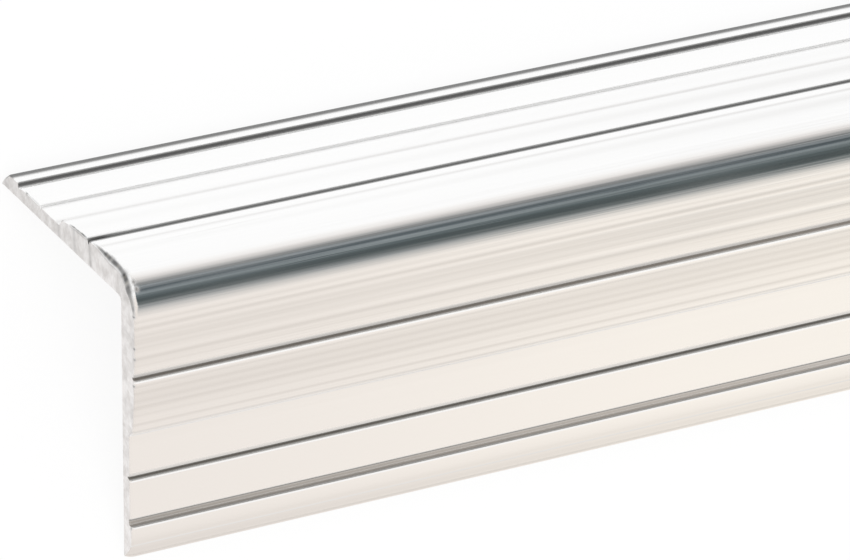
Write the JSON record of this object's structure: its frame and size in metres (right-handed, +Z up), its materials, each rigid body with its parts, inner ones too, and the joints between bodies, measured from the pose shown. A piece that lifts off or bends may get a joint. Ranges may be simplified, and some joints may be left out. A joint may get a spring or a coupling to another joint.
{
  "type": "metal angle section",
  "caption": "Straight equal-leg aluminium edging angle, flat inside, with a rounded corner, score lines, a shallow recess and a bevelled bead along each free edge.",
  "frame": {"origin": "on the floor under the middle of the bar, which lies on its two free edges with its corner up", "axes": "+X along the bar, +Y across it towards one leg's free edge, +Z up through the corner"},
  "size_m": [1, 0.0386, 0.0216],
  "materials": {
    "aluminium": "bright mill finish with fine lines along the bar"
  },
  "bodies": {
    "root": {"angle_section": "aluminium"}
  },
  "joints": []
}
